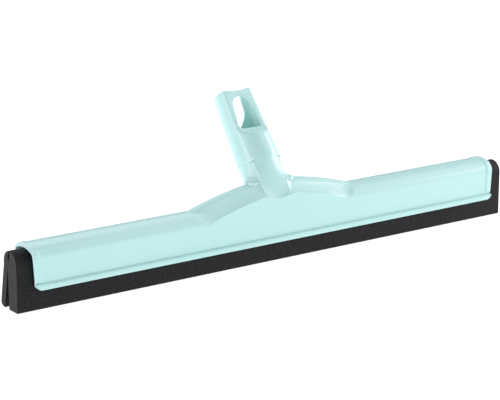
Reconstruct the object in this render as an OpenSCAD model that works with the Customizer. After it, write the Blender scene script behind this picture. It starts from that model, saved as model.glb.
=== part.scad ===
// Floor squeegee head: a moulded hood with a leaning handle socket, which holds a strip of
// sponge rubber with two lips. Sizes are in millimetres. X runs along the strip, Y from the
// front to the back and Z up. The origin lies on the floor under the middle of the hood.

/* [Rubber strip] */
// Length of the strip
strip_len = 450; // [440:2:520]
// Thickness of the strip's upper body
body_t = 18.1; // [16:0.1:18.2]
// Distance from the hood's mid-plane to the strip's flat front
front_y = 10.3; // [9.6:0.1:10.3]
// Height of the whole strip
strip_h = 44; // [40:0.5:48]
// Thickness of the front lip
front_lip_t = 12.1; // [10:0.1:12.4]
// Thickness of the back lip
back_lip_t = 6; // [4.8:0.1:6]
// Angle at which the back lip splays out
splay = 11; // [8:0.5:12]
// Height at which the lips bend
bend_h = 13; // [11:0.5:14]
// Height at which the back lip leaves the upper body
fork_h = 33; // [31:0.5:34]
// Clearance round the half-round tops of the lips
bend_gap = 0.3; // [0.2:0.05:0.5]
// Height of the tip of the gap between the lips
wedge_h = 30.5; // [28:0.5:32]
// Width of the small hole through the strip
hole_d = 2.8; // [2:0.1:3.6]
// Height of the small hole
hole_h = 37.3; // [36:0.1:38.5]
// Distance of the small hole behind the mid-plane
hole_y = 0.9; // [0:0.1:2]
// Width of the slit between the hole and the gap
slit_w = 0.5; // [0.3:0.1:0.8]
// Rounding of the front lip's inner lower corner
front_tip_r = 1.4; // [0.6:0.1:1.6]
// Rounding of the back lip's outer lower corner
back_tip_r = 3.4; // [2:0.1:4]

/* [Hood] */
// Length of the hood along its top
hood_len = 427; // [400:1:430]
// Lean of the hood's cut ends
end_lean = 3.5; // [0:0.5:6]
// Half of the hood's outer thickness
hood_y = 13.7; // [13.7:0.1:16]
// Wall of the hood's two faces
face_wall = 2; // [1.4:0.1:2]
// Thickness of the hood's roof at its crown
roof_t = 3.2; // [2.2:0.1:4]
// Radius of the crowned roof
crown_r = 17; // [15:0.5:24]
// Rounding between the roof and the faces
shoulder_r = 6.5; // [5:0.1:7.5]
// Height of the hood's lower edge
hem_h = 15.4; // [15:0.1:18]
// Height of the bead along the lower edge
bead_h = 4.2; // [3:0.1:5.5]
// How far the bead stands out
bead_out = 2.1; // [1.2:0.1:2.6]
// Rounding of the bead at the hood's ends
bead_end_r = 4.6; // [3:0.1:6]
// Depth of the groove above the bead
groove_d = 0.4; // [0.2:0.1:0.6]
// Width of the raised rim at each end of the hood
rim_w = 5.5; // [3:0.5:8]
// How far that rim stands out
rim_out = 0.5; // [0.3:0.1:0.9]
// Clearance between the rubber and the hood's ribs and roof
strip_gap = 0.3; // [0.3:0.05:0.6]
// Thickness of the gripping ribs inside the hood
rib_t = 1.2; // [1:0.1:1.8]
// Height of the lower pair of gripping ribs
low_rib_h = 22; // [21:0.5:25]
// Height of the upper pair of gripping ribs
high_rib_h = 32; // [30:0.5:33]

/* [Fairing] */
// Reach of the fairing to each side of the middle
wing_reach = 76.5; // [66:0.5:90]
// Height of the fairing's ridge above the roof, at the middle
wing_rise = 15.1; // [13:0.1:17]
// Slope at which the ridge leaves the roof
wing_slope = 0.32; // [0.28:0.01:0.4]
// Half width of the fairing's crowned ridge
ridge_y = 5.1; // [4.2:0.1:6]
// Half width of the ridge at the fairing's tips
tip_y = 6.3; // [5:0.1:7.4]
// Rounding along the ridge's two edges
ridge_edge = 0.8; // [0.4:0.1:1.2]
// How far the ridge's edges fall below its middle
ridge_drop = 1.4; // [1:0.1:1.8]
// How much further they fall at the fairing's tips
tip_drop = 1.6; // [1.2:0.1:2.4]
// How far the fairing runs on, sunk in the roof, past its tips
tip_sink = 2; // [1.6:0.1:3]
// How far the fairing's faces lie inside the hood's faces
face_set = 0.05; // [0.04:0.01:0.1]
// Height of the crease on the faces, near the middle
crease_h = 53; // [51:0.1:55]
// Distance from the middle where the crease meets the hood's shoulder
crease_reach = 66; // [58:1:72]
// How far the crease dips under the neck
crease_dip = 3.4; // [2:0.1:5]
// Half width of that dip
dip_reach = 16; // [12:1:20]
// Wall of the fairing and of the ribs under it
fairing_wall = 2.2; // [1.6:0.1:2.6]
// Distance between the ribs under the fairing
web_pitch = 22; // [18:1:26]

/* [Neck and socket] */
// Lean of the neck from upright
neck_lean = 37.7; // [32:0.1:40]
// Distance of the neck's foot behind the mid-plane
foot_y = 5.4; // [4:0.1:6.5]
// Height of the neck's foot
foot_h = 59.7; // [58:0.1:62]
// Distance from the foot to the seam under the socket
seam_at = 15.9; // [14:0.1:20]
// Distance from the foot to the socket's mouth
mouth_at = 74.3; // [70:0.1:84]
// Outer width of the socket at its mouth
mouth_d = 28.8; // [28:0.1:32]
// Outer width of the socket at the seam
seam_d = 33.8; // [33:0.1:36]
// How much narrower the neck is than the socket, at the seam
seam_step = 0.6; // [0.2:0.1:1]
// Widening of the neck from the seam down to the foot
neck_flare = 1.4; // [0.4:0.1:2]
// Lean of the neck's flat front from upright
scoop_lean = 20.4; // [16:0.1:26]
// Bore of the socket
bore_d = 23.4; // [21.5:0.1:23.8]
// Distance from the foot to the floor of the bore
bore_at = 30; // [28:0.5:32]
// Distance from the socket's axis to the flat pad at its front
pad_y = 8.6; // [8.4:0.1:9.6]
// Wall behind the pad
pad_wall = 1.8; // [1.4:0.1:2.2]
// Distance from the foot to the lower end of the pad
pad_at = 41; // [39:0.5:42]
// Length over which the pad runs out below its lower end
pad_runout = 10; // [8:0.5:12]
// Depth of the hollow in the pad's upper edge
pad_dip = 1.3; // [0.5:0.1:2]
// Distance from the foot to the lower edge of the window
window_at = 40.8; // [40:0.1:44]
// Length of the window
window_len = 27.3; // [22:0.1:29]
// Width of the window's lower part
window_w = 21; // [16:0.1:21.4]
// Width of the window's arched upper part
window_top_w = 17.2; // [12:0.1:17.6]
// Rounding of the window's lower corners
window_corner = 4; // [2:0.1:5]
// Width of the slot in the socket's rear wall, open at the mouth
slot_w = 20.6; // [16:0.1:21.4]
// Diameter of the spigot inside the socket's foot
spigot_d = 24.8; // [24.2:0.1:26]
// Clearance round the spigot
spigot_gap = 0.1; // [0.05:0.05:0.2]
// Diameter of the hollow inside the neck
core_d = 19; // [14:0.5:19.5]
// Thickness of the web that closes the spigot
spigot_web = 3.5; // [2.5:0.1:5]

/* [Hidden] */
round_fn = 96;
over = 1;
arc_steps = 8;
cove_steps = 6;
crown_steps = 3;
tip_steps = 12;
tip_power = 4;
crease_power = 1.6;

mint = "#bde8e2";
charcoal = "#2b2c30";

// Strip: the upper body is a slab with a half-round top
dome_r = body_t / 2;
dome_y = dome_r - front_y;
dome_h = strip_h - dome_r;
back_y = body_t - front_y;
front_bend_y = front_lip_t / 2 - front_y;
front_inner_y = front_lip_t - front_y;
back_out_t = back_lip_t / cos(splay);
back_bend_y = back_y + (fork_h - bend_h) * tan(splay) - back_out_t / 2;
back_len = bend_h / cos(splay) - back_lip_t / 2 * tan(splay);
function back_face_y(h) = h > fork_h ? back_y : back_y + (fork_h - h) * tan(splay);

// Hood: heights and the inner faces
roof_in_h = strip_h + strip_gap;
hood_top = roof_in_h + roof_t;
inner_y = hood_y - face_wall;
bead_top = hem_h + bead_h;
shoulder_in_r = shoulder_r - face_wall;
end_half = hood_len / 2;
hem_half = end_half - (hood_top - hem_h) * tan(end_lean);

// Neck: radii along its taper
seam_r = seam_d / 2;
mouth_r = mouth_d / 2;
neck_r = seam_r - seam_step / 2;
foot_r = neck_r + neck_flare / 2;
bore_r = bore_d / 2;
pad_in_y = pad_y - pad_wall;

// Points of an arc round a centre, between two angles
function arc(c, r, a0, a1, n = arc_steps) =
    [for (i = [0:n]) c + r * [cos(a0 + (a1 - a0) * i / n), sin(a0 + (a1 - a0) * i / n)]];
function mirrored(pts) = [for (i = [len(pts) - 1:-1:0]) [-pts[i][0], pts[i][1]]];
function bezier(a, b, c, t) = a * (1 - t) * (1 - t) + b * 2 * t * (1 - t) + c * t * t;

// A crowned hood section: half thickness, height, crown and shoulder radii.
// The shoulder arc is tangent to the face and to the crown.
function shoulder_c(hy, top, cr, sr) =
    let (dy = hy - sr, dz = sqrt(pow(cr - sr, 2) - dy * dy)) [dy, top - cr + dz];
function hood_outline(hy, top, cr, sr, bottom) =
    let (c = shoulder_c(hy, top, cr, sr),
         crown_a = atan2(c[1] - (top - cr), c[0]),
         right = concat([[hy, bottom]],
                        arc(c, sr, 0, crown_a),
                        arc([0, top - cr], cr, crown_a, 90)))
    concat(right, mirrored(right));

// Fairing: the ridge's height, its edges, the crease and the ridge's half width at a station.
// The ridge widens, and its edges fall, mostly close to the tips.
function ridge_h(x) =
    let (u = (wing_reach - abs(x)) / wing_reach)
    hood_top + wing_reach * wing_slope * u - (wing_reach * wing_slope - wing_rise) * u * u;
function near_tip(x) = pow(abs(x) / wing_reach, tip_power);
function edge_h(x) = ridge_h(x) - ridge_drop - tip_drop * near_tip(x);
function near_neck(x) = abs(x) < dip_reach ? pow(1 - pow(x / dip_reach, 2), 2) : 0;
shoulder_h = shoulder_c(hood_y, hood_top, crown_r, shoulder_r)[1];
skirt_h = bead_top + over;
function crease_z(x) =
    max(skirt_h + 2 * over,
        crease_h - (crease_h - shoulder_h) * pow(abs(x) / crease_reach, crease_power)
        - crease_dip * near_neck(x));
function ridge_half(x) = ridge_y + (tip_y - ridge_y) * near_tip(x);
tip_x = wing_reach + tip_sink;
wing_x = concat([for (s = [0:2:dip_reach - 1]) s],
                [for (i = [0:tip_steps]) dip_reach + (tip_x - dip_reach) * i / tip_steps]);
stations = concat([for (i = [len(wing_x) - 1:-1:1]) -wing_x[i]], wing_x);

// One section of the fairing, drawn in by a wall at its sides and by a roof at its top
function fairing_side(x, wall, roof) =
    let (edge = edge_h(x) - roof,
         rise = ridge_h(x) - edge_h(x),
         a = [hood_y - face_set - wall, crease_z(x) - wall / 2],
         b = [ridge_half(x) - wall, edge - ridge_edge],
         c = [a[0] + (b[0] - a[0]) * 0.7, a[1] + (b[1] - a[1]) * 0.3],
         top_y = b[0] - ridge_edge)
    concat([[a[0], skirt_h]],
           [for (i = [0:cove_steps]) bezier(a, c, b, i / cove_steps)],
           [[b[0] - ridge_edge * 0.3, edge - ridge_edge * 0.3]],
           [for (i = [0:crown_steps - 1]) let (t = i / crown_steps)
               [top_y * (1 - t), edge + rise * (1 - (1 - t) * (1 - t))]]);
function fairing_section(x, wall, roof) =
    let (side = fairing_side(x, wall, roof))
    concat(side, [[0, ridge_h(x) - roof]], mirrored(side));

module fairing_loft(wall, roof) {
    rings = [for (s = stations) [for (p = fairing_section(s, wall, roof)) [s, p[0], p[1]]]];
    n = len(rings[0]);
    faces = concat(
        [[for (j = [0:n - 1]) j]],
        [for (i = [0:len(rings) - 2]) for (j = [0:n - 1]) let (k = (j + 1) % n, a = i * n, b = a + n)
            each [[a + j, b + j, b + k], [a + j, b + k, a + k]]],
        [[for (j = [n - 1:-1:0]) (len(rings) - 1) * n + j]]);
    polyhedron(points = [for (r = rings) each r], faces = faces);
}

// Extrude a [y, z] outline along X, centred
module along_x(length) {
    rotate([90, 0, 90])
        linear_extrude(length, center = true) children();
}

// The neck's own frame: Z runs up its axis and -Y is its front
module on_neck() {
    translate([0, foot_y, foot_h])
        rotate([-neck_lean, 0, 0]) children();
}

// Outline of the hood in X and Z, with leaning ends and rounded lower corners
module end_outline(grow) {
    low_c = [hem_half - bead_end_r + grow, hem_h + bead_end_r];
    right = concat(arc(low_c, bead_end_r, -90, 0),
                   [[end_half + grow, hood_top + over], [end_half + grow, hood_top + 2 * over]]);
    polygon(concat(right, mirrored(right)));
}

module hood_walls() {
    difference() {
        union() {
            along_x(hood_len)
                polygon(hood_outline(hood_y, hood_top, crown_r, shoulder_r, hem_h));
            for (side = [-1, 1])
                translate([side * (end_half - rim_w / 2), 0, 0])
                    along_x(rim_w)
                        polygon(hood_outline(hood_y + rim_out, hood_top, crown_r + rim_out,
                                             shoulder_r + rim_out, bead_top - over));
            bead();
        }
        groove();
    }
}

// The bead is a flat band with a small chamfer along its two outer edges
module bead() {
    out_y = hood_y + bead_out;
    ease = bead_out * 0.35;
    side = [[out_y - ease, hem_h], [out_y, hem_h + ease], [out_y, bead_top - ease * 1.6],
            [out_y - ease, bead_top], [0, bead_top]];
    along_x(hood_len)
        polygon(concat([[0, hem_h]], side, [for (i = [3:-1:0]) [-side[i][0], side[i][1]]]));
}

module groove() {
    for (side = [-1, 1])
        translate([0, side * hood_y, bead_top + 1.5 * groove_d])
            cube([hood_len - 2 * rim_w, 2 * groove_d, 2 * groove_d], center = true);
}

// The channel that takes the strip, open at both ends and below
module channel() {
    along_x(hood_len + 4 * over)
        polygon(hood_outline(inner_y, roof_in_h, crown_r - roof_t, shoulder_in_r, hem_h - over));
}

// Lengthwise ribs reach from the inner faces to the strip
module grip_ribs() {
    rib_len = hood_len - 2 * rim_w;
    for (h = [low_rib_h, high_rib_h]) {
        front_reach = inner_y - front_y - strip_gap;
        translate([-rib_len / 2, -inner_y - face_wall / 2, h])
            cube([rib_len, front_reach + face_wall / 2, rib_t]);
        back_reach = inner_y - back_face_y(h) - strip_gap;
        translate([-rib_len / 2, inner_y - back_reach, h])
            cube([rib_len, back_reach + face_wall / 2, rib_t]);
    }
}

// Cross webs under the fairing, down to the channel's roof
module fairing_webs() {
    for (i = [-2, -1, 1, 2])
        intersection() {
            fairing_loft(fairing_wall / 2, roof_t / 2);
            translate([i * web_pitch, 0, roof_in_h + hood_top / 2])
                cube([fairing_wall, 2 * hood_y, hood_top], center = true);
        }
}

// The neck below the seam: a leaning taper with a flat leaning front. Its back runs down into the
// hood's rear face.
module neck_stem() {
    drop = foot_h - hem_h;
    intersection() {
        on_neck()
            union() {
                cylinder(h = seam_at, r1 = foot_r, r2 = neck_r, $fn = round_fn);
                translate([0, 0, -drop])
                    cylinder(h = drop, r = foot_r, $fn = round_fn);
            }
        scoop_side();
        translate([-seam_d, 2 * face_set - hood_y, skirt_h + 2 * over])
            cube([2 * seam_d, 4 * seam_d, 2 * hood_top]);
    }
}

// Everything behind the neck's leaning front, which starts at the seam
module scoop_side() {
    on_neck()
        translate([0, -neck_r, seam_at])
            rotate([neck_lean - scoop_lean, 0, 0])
                translate([-seam_d, 0, -3 * seam_d])
                    cube([2 * seam_d, 4 * seam_d, 6 * seam_d]);
}

module neck_core() {
    on_neck()
        translate([0, 0, -core_d / 4])
            cylinder(h = bore_at - spigot_web - strip_gap + core_d / 4, d = core_d, $fn = round_fn);
}

module spigot() {
    on_neck()
        translate([0, 0, seam_at - over])
            cylinder(h = bore_at - seam_at + over - spigot_gap, d = spigot_d, $fn = round_fn);
}

module head_shell() {
    color(mint)
        union() {
            difference() {
                union() {
                    intersection() {
                        hood_walls();
                        rotate([90, 0, 0])
                            linear_extrude(4 * hood_y, center = true) end_outline(0);
                    }
                    fairing_loft(0, 0);
                    neck_stem();
                    spigot();
                }
                channel();
                fairing_loft(fairing_wall, roof_t);
                neck_core();
            }
            grip_ribs();
            fairing_webs();
        }
}

// The flat pad on the front of the socket, with its run-out
module pad_cut(depth) {
    top = mouth_at + over;
    low = pad_at - pad_runout;
    mid = pad_at - pad_runout / 2;
    rotate([90, 0, 90])
        linear_extrude(2 * seam_d, center = true)
            polygon([[-depth, top], [-depth, pad_at], [-depth - (seam_r - depth) / 4, mid],
                     [-seam_r, low], [-2 * seam_r, low], [-2 * seam_r, top]]);
}

module pad_hollow() {
    reach = sqrt(mouth_r * mouth_r - pad_y * pad_y) * 0.8;
    arc_r = (reach * reach + pad_dip * pad_dip) / (2 * pad_dip);
    translate([0, -pad_in_y, mouth_at + arc_r - pad_dip])
        rotate([90, 0, 0])
            cylinder(h = seam_r, r = arc_r, $fn = round_fn);
}

// The front window is straight below, with two rounded corners, and arched above
module window_cut() {
    arch_r = window_top_w / 2;
    arch_c = [0, window_at + window_len - arch_r];
    corner_c = [window_w / 2 - window_corner, window_at + window_corner];
    side = concat(arc(corner_c, window_corner, -90, 6), arc(arch_c, arch_r, 6, 90));
    rotate([90, 0, 0])
        linear_extrude(2 * seam_d)
            polygon(concat(side, mirrored(side)));
}

// The rear slot starts level with the window and is open at the mouth
module slot_cut() {
    corner_c = [slot_w / 2 - window_corner, window_at + window_corner];
    side = concat(arc(corner_c, window_corner, -90, 0), [[slot_w / 2, mouth_at + over]]);
    translate([0, 2 * seam_d, 0])
        rotate([90, 0, 0])
            linear_extrude(2 * seam_d)
                polygon(concat(side, mirrored(side)));
}

module handle_socket() {
    color(mint)
        on_neck()
            difference() {
                translate([0, 0, seam_at])
                    cylinder(h = mouth_at - seam_at, r1 = seam_r, r2 = mouth_r, $fn = round_fn);
                pad_cut(pad_y);
                pad_hollow();
                difference() {
                    translate([0, 0, bore_at])
                        cylinder(h = mouth_at, r = bore_r, $fn = round_fn);
                    pad_cut(pad_in_y);
                }
                translate([0, 0, seam_at - over])
                    cylinder(h = bore_at - seam_at + over, d = spigot_d + 2 * spigot_gap, $fn = round_fn);
                window_cut();
                slot_cut();
            }
}

// The strip's upper body: slab, half-round top and the two stubs that carry the lips
module root_outline() {
    difference() {
        polygon(concat(arc([dome_y, dome_h], dome_r, 0, 180, 4 * arc_steps),
                       [[-front_y, bend_h], [back_face_y(bend_h), bend_h], [back_y, fork_h]]));
        wedge_outline();
        translate([front_bend_y, bend_h])
            circle(r = front_lip_t / 2 + bend_gap, $fn = round_fn);
        translate([back_bend_y, bend_h])
            circle(r = back_lip_t / 2 + bend_gap, $fn = round_fn);
        translate([hole_y, hole_h])
            circle(d = hole_d, $fn = round_fn);
        slit_outline();
    }
}

// The gap between the lips, from its tip down
module wedge_outline() {
    inner_low = back_face_y(0) - back_out_t;
    polygon([[front_inner_y, -over], [front_inner_y, wedge_h - over],
             [front_inner_y + slit_w, wedge_h],
             [back_face_y(wedge_h) - back_out_t + slit_w, wedge_h - over],
             [inner_low + over * tan(splay), -over]]);
}

module slit_outline() {
    x0 = front_inner_y;
    polygon([[hole_y - slit_w / 2, hole_h], [hole_y + slit_w / 2, hole_h],
             [x0 + slit_w, wedge_h - over], [x0, wedge_h - over]]);
}

module blade_root() {
    color(charcoal)
        along_x(strip_len) root_outline();
}

module front_lip() {
    tip_c = [front_inner_y - front_tip_r, front_tip_r];
    color(charcoal)
        along_x(strip_len) {
            translate([front_bend_y, bend_h])
                circle(d = front_lip_t, $fn = round_fn);
            polygon(concat([[-front_y, bend_h], [-front_y, 0]], arc(tip_c, front_tip_r, -90, 0),
                           [[front_inner_y, bend_h]]));
        }
}

module back_lip() {
    half = back_lip_t / 2;
    tip_c = [half - back_tip_r, -back_len + back_tip_r];
    color(charcoal)
        along_x(strip_len)
            translate([back_bend_y, bend_h])
                rotate(splay) {
                    circle(d = back_lip_t, $fn = round_fn);
                    polygon(concat([[-half, 0], [-half, -back_len]], arc(tip_c, back_tip_r, -90, 0),
                                   [[half, 0]]));
                }
}

head_shell();
handle_socket();
blade_root();
front_lip();
back_lip();
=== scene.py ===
# %% [markdown]
# # Floor squeegee
# A floor squeegee pushes water over a hard floor. Its head is one moulding of pale mint plastic, with
# a socket for a handle, and it grips a strip of charcoal sponge rubber that ends below in two lips.
#
# The CAD frame already holds the parts and the bodies that move. Here each part gets a finer mesh and a
# finish.
# The head's meshes ride on the head's body; the rubber strip rides on none. The CAD part shown as it is
# would look like a drawing.

import bpy
import bmesh
import math
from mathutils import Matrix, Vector


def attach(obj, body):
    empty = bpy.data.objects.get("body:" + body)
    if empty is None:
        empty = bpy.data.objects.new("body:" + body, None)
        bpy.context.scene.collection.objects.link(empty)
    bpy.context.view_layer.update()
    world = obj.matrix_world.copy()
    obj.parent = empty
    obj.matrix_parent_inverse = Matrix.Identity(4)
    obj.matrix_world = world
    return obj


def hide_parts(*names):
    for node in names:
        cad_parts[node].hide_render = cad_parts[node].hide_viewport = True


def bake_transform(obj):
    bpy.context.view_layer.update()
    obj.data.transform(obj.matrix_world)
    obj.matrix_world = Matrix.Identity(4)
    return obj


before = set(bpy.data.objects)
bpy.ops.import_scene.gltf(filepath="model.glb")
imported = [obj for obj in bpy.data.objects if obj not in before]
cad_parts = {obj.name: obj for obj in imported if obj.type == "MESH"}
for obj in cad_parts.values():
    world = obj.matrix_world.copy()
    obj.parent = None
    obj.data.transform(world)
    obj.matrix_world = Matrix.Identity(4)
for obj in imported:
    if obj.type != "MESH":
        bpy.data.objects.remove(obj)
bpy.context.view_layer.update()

# %% [markdown]
# The hood is the long trough that holds the strip. Its sizes are named once, in millimetres, so that they
# are easy to change. x runs along the head, y to the rear, and z is the height over the floor.

# %% Hood sizes
MM = 0.001
END = 213.5
END_LEAN = math.tan(math.radians(3.5))  # the ends lean inwards going down
HEM_H = 15.4
BEAD_TOP = 19.6
BEAD_Y = 15.8
FACE_Y = 13.7
WALL = 2.0
TOP_H = 47.5
SHOULDER_H = 38.9
KNEE = (-9.0, 45.7)  # y and z of the bend between the shoulder and the crown
RIM_W = 5.5  # swollen rim at each end
RIM_OUT = 0.5
END_RIM = 0.4
LAST = END - END_RIM  # the outermost station, where the rounded rim starts
CORNER_R = 4.6
print("Hood:", 2 * END, "mm long and", 2 * BEAD_Y, "mm wide")

# %% [markdown]
# The fairing is the low hill on the hood that carries the neck. Its outline and its foot line, the
# crease, were measured in the photograph. Splines could follow them, but a formula with a few sizes stays
# smooth.

# %% Fairing sizes
WING = 76.5
WING_END = 81.0  # past this the hood is plain
RIDGE_RISE = 24.5
RIDGE_SAG = 9.4
RIDGE_Y = 5.1  # half of the ridge's width at the neck
TIP_Y = 6.3  # and at the tips
CREST_DROP = 1.4  # the ridge is crowned: its edges are lower than its middle
TIP_DROP = 1.6
EDGE_R = 0.8
CREASE_H = 53.0
CREASE_FALL = 14.1
CREASE_REACH = 66.0
CREASE_POWER = 1.6
CREASE_DIP = 3.4  # the crease sags in front of the neck
VALLEY_W = 16.0

# %% [markdown]
# The neck leans back, and the handle socket goes on in its line. Heights in both are lengths along the
# leaning axis, from the neck's foot, so that their circles stay round.

# %% Neck, socket and strip sizes
LEAN = math.radians(37.7)
FOOT = (5.4, 59.7)  # y and z where the axis starts
FLANK = 12.2
ROOT_R = 4.5
NECK_R = 16.6
SEAM_R = 16.9
MOUTH_R = 14.8
SEAM_AT = 15.9
SEAM_DIP = 2.9
MOUTH_AT = 74.3
MOUTH_DIP = 1.4  # the rim is hollow over the pad
BORE_R = 11.7
BORE_AT = 30.0
PAD_Y = 8.6
PAD_WALL = 1.8
STRIP_HALF = 225.0
print("Strip:", 2 * STRIP_HALF, "mm long")

# %% [markdown]
# Moulded parts have few straight lines. A blend, a soft step and a curve with one control point make all
# the roundings here.

# %% Blends and curves
def lerp(a, b, t):
    return a + (b - a) * t


def smooth(t):
    t = min(1.0, max(0.0, t))
    return t * t * (3 - 2 * t)


def mix(p, q, t):
    return tuple(lerp(a, b, t) for a, b in zip(p, q))


def bezier(a, c, b, t):
    return mix(mix(a, c, t), mix(c, b, t), t)


def spread(a, b, n):
    return [lerp(a, b, i / n) for i in range(n + 1)]


# %% [markdown]
# The head's skin bends in two directions, so no box or cylinder gives it, and a sculpted one wouldn't
# keep the sizes. So a chain of edges along one section is extruded to the next, as a modeller does with
# E. Neighbouring sheets share their border points and are welded.

# %% Sheets by extruding
def extruded(bm, chain, points):
    """Extrudes a chain of points and moves the new chain to the given points."""
    edges = {bm.edges.get(pair): None for pair in zip(chain, chain[1:] + chain[:1])}
    grown = bmesh.ops.extrude_edge_only(bm, edges=[edge for edge in edges if edge])
    fresh = {v for v in grown["geom"] if isinstance(v, bmesh.types.BMVert)}
    chain = [next(e.other_vert(v) for e in v.link_edges if e.other_vert(v) in fresh) for v in chain]
    for vert, point in zip(chain, points):
        vert.co = Vector(point) * MM
    return chain


def add_sheet(bm, rows, closed=False):
    """Starts from one row of points and extrudes it from row to row."""
    chain = [bm.verts.new(Vector(p) * MM) for p in rows[0]]
    for pair in zip(chain, chain[1:] + (chain[:1] if closed else [])):
        bm.edges.new(pair)
    made = [chain]
    for row in rows[1:]:
        made.append(extruded(bm, made[-1], row))
    return made


# %% [markdown]
# Each mesh is finished alike: doubles are merged, normals turned outwards, and sharp edges marked, so
# that smooth shading stops there. The roundings are in the mesh, so no bevel modifier is needed.

# %% Boxes and finished meshes
def add_box(bm, low, high):
    low, high = Vector(low) * MM, Vector(high) * MM
    cube = bmesh.ops.create_cube(bm, size=1.0)
    bmesh.ops.scale(bm, vec=high - low, verts=cube["verts"])
    bmesh.ops.translate(bm, vec=(low + high) / 2, verts=cube["verts"])


def new_object(name, data):
    obj = bpy.data.objects.new(name, data)
    bpy.context.scene.collection.objects.link(obj)
    return obj


def finish_mesh(name, bm, materials, sharp=35.0):
    bmesh.ops.remove_doubles(bm, verts=bm.verts, dist=0.004 * MM)
    bmesh.ops.dissolve_degenerate(bm, edges=bm.edges, dist=0.002 * MM)
    bmesh.ops.recalc_face_normals(bm, faces=bm.faces)
    for face in bm.faces:
        face.smooth = True
    for edge in bm.edges:
        if len(edge.link_faces) == 2:
            edge.smooth = edge.calc_face_angle(0.0) < math.radians(sharp)
    mesh = bpy.data.meshes.new(name)
    bm.to_mesh(mesh)
    bm.free()
    for material in materials:
        mesh.materials.append(material)
    print(name, len(mesh.polygons), "faces")
    return new_object(name, mesh)


# %% [markdown]
# Two effects, drifting gloss and open cells, are node groups. Each is built once and placed in a material
# with its own numbers. In copied nodes every change would have to be made again.

# %% Node helpers
def new_group(name, inputs, outputs):
    group = bpy.data.node_groups.new(name, "ShaderNodeTree")
    for label, value in inputs:
        socket = group.interface.new_socket(name=label, in_out="INPUT", socket_type="NodeSocketFloat")
        socket.default_value = value
    for label in outputs:
        group.interface.new_socket(name=label, in_out="OUTPUT", socket_type="NodeSocketFloat")
    tree = group.nodes
    return group, tree, tree.new("NodeGroupInput"), tree.new("NodeGroupOutput")


def set_inputs(node, values):
    for name, value in values.items():
        node.inputs[name].default_value = value


def noise_on(tree, links, coords, scale, detail=3.0):
    noise = tree.new("ShaderNodeTexNoise")
    set_inputs(noise, {"Detail": detail})
    links.new(coords, noise.inputs["Vector"])
    links.new(scale, noise.inputs["Scale"])
    return noise.outputs["Fac"]


def scaled(tree, links, value, low, high):
    ramp = tree.new("ShaderNodeMapRange")
    set_inputs(ramp, {"To Min": low, "To Max": high})
    links.new(value, ramp.inputs["Value"])
    return ramp.outputs["Result"]


# %% [markdown]
# Moulded plastic is never quite even: its gloss drifts in broad patches, over a very fine grain. Two
# noises of different size give both.

# %% Moulding marks
def moulding_marks():
    group, tree, given, out = new_group(
        "Moulding marks", [("Broad scale", 18.0), ("Fine scale", 900.0)], ["Broad", "Fine"]
    )
    coords = tree.new("ShaderNodeTexCoord").outputs["Object"]
    for label in ("Broad", "Fine"):
        noise = noise_on(tree, group.links, coords, given.outputs[label + " scale"])
        group.links.new(noise, out.inputs[label])
    return group


MARKS = moulding_marks()
print("Effect:", MARKS.name)

# %% [markdown]
# Sponge rubber is full of small bubbles, which lie open where it is cut. A Voronoi texture has such round
# cells, and a noise breaks up their evenness.

# %% Open cells
def open_cells():
    group, tree, given, out = new_group(
        "Open cells", [("Cell scale", 1400.0), ("Grain scale", 3200.0)], ["Pores", "Grain"]
    )
    coords = tree.new("ShaderNodeTexCoord").outputs["Object"]
    cells = tree.new("ShaderNodeTexVoronoi")
    group.links.new(coords, cells.inputs["Vector"])
    group.links.new(given.outputs["Cell scale"], cells.inputs["Scale"])
    grain = noise_on(tree, group.links, coords, given.outputs["Grain scale"], 4.0)
    group.links.new(cells.outputs["Distance"], out.inputs["Pores"])
    group.links.new(grain, out.inputs["Grain"])
    return group


CELLS = open_cells()
print("Effect:", CELLS.name)

# %% [markdown]
# A material is a Principled shader with textures in its sockets. These helpers start one, place a shared
# effect, blend two colours by a mask and turn a height into a bump.

# %% Material helpers
def new_material(name):
    material = bpy.data.materials.new(name)
    material.use_nodes = True
    tree = material.node_tree
    shader = tree.nodes["Principled BSDF"]
    return material, tree.nodes, tree.links, shader


def place_group(nodes, group):
    node = nodes.new("ShaderNodeGroup")
    node.node_tree = group
    return node


def tint(nodes, links, factor, dark, light):
    blend = nodes.new("ShaderNodeMix")
    blend.data_type = "RGBA"
    links.new(factor, blend.inputs["Factor"])
    blend.inputs["A"].default_value = (*dark, 1)
    blend.inputs["B"].default_value = (*light, 1)
    return blend.outputs["Result"]


def relief(nodes, links, height, distance, strength):
    bump = nodes.new("ShaderNodeBump")
    set_inputs(bump, {"Distance": distance, "Strength": strength})
    links.new(height, bump.inputs["Height"])
    return bump.outputs["Normal"]


# %% [markdown]
# The head is glossy polypropylene in pale mint, a little translucent. One flat colour would look like
# paint, so two close shades and the gloss follow the broad marks, and a little subsurface light softens
# the edges.

# %% Mint plastic
MINT_DARK = (0.462, 0.785, 0.742)
MINT_LIGHT = (0.492, 0.815, 0.772)


def make_mint():
    material, nodes, links, shader = new_material("mint_plastic")
    marks = place_group(nodes, MARKS)
    colour = tint(nodes, links, marks.outputs["Broad"], MINT_DARK, MINT_LIGHT)
    links.new(colour, shader.inputs["Base Color"])
    links.new(scaled(nodes, links, marks.outputs["Broad"], 0.20, 0.30), shader.inputs["Roughness"])
    links.new(relief(nodes, links, marks.outputs["Fine"], 0.00002, 0.25), shader.inputs["Normal"])
    set_inputs(shader, {"IOR": 1.49, "Subsurface Weight": 0.12, "Subsurface Scale": 0.002})
    set_inputs(shader, {"Subsurface Radius": (0.8, 1.0, 1.0)})
    return material


MINT = make_mint()
print("Material:", MINT.name)

# %% [markdown]
# The strip's long faces have a closed dark skin. Its sawn ends show the cells and look lighter and
# rougher. Both are one recipe with other numbers: pores times grain choose between a dark and a light
# shade.

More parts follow.
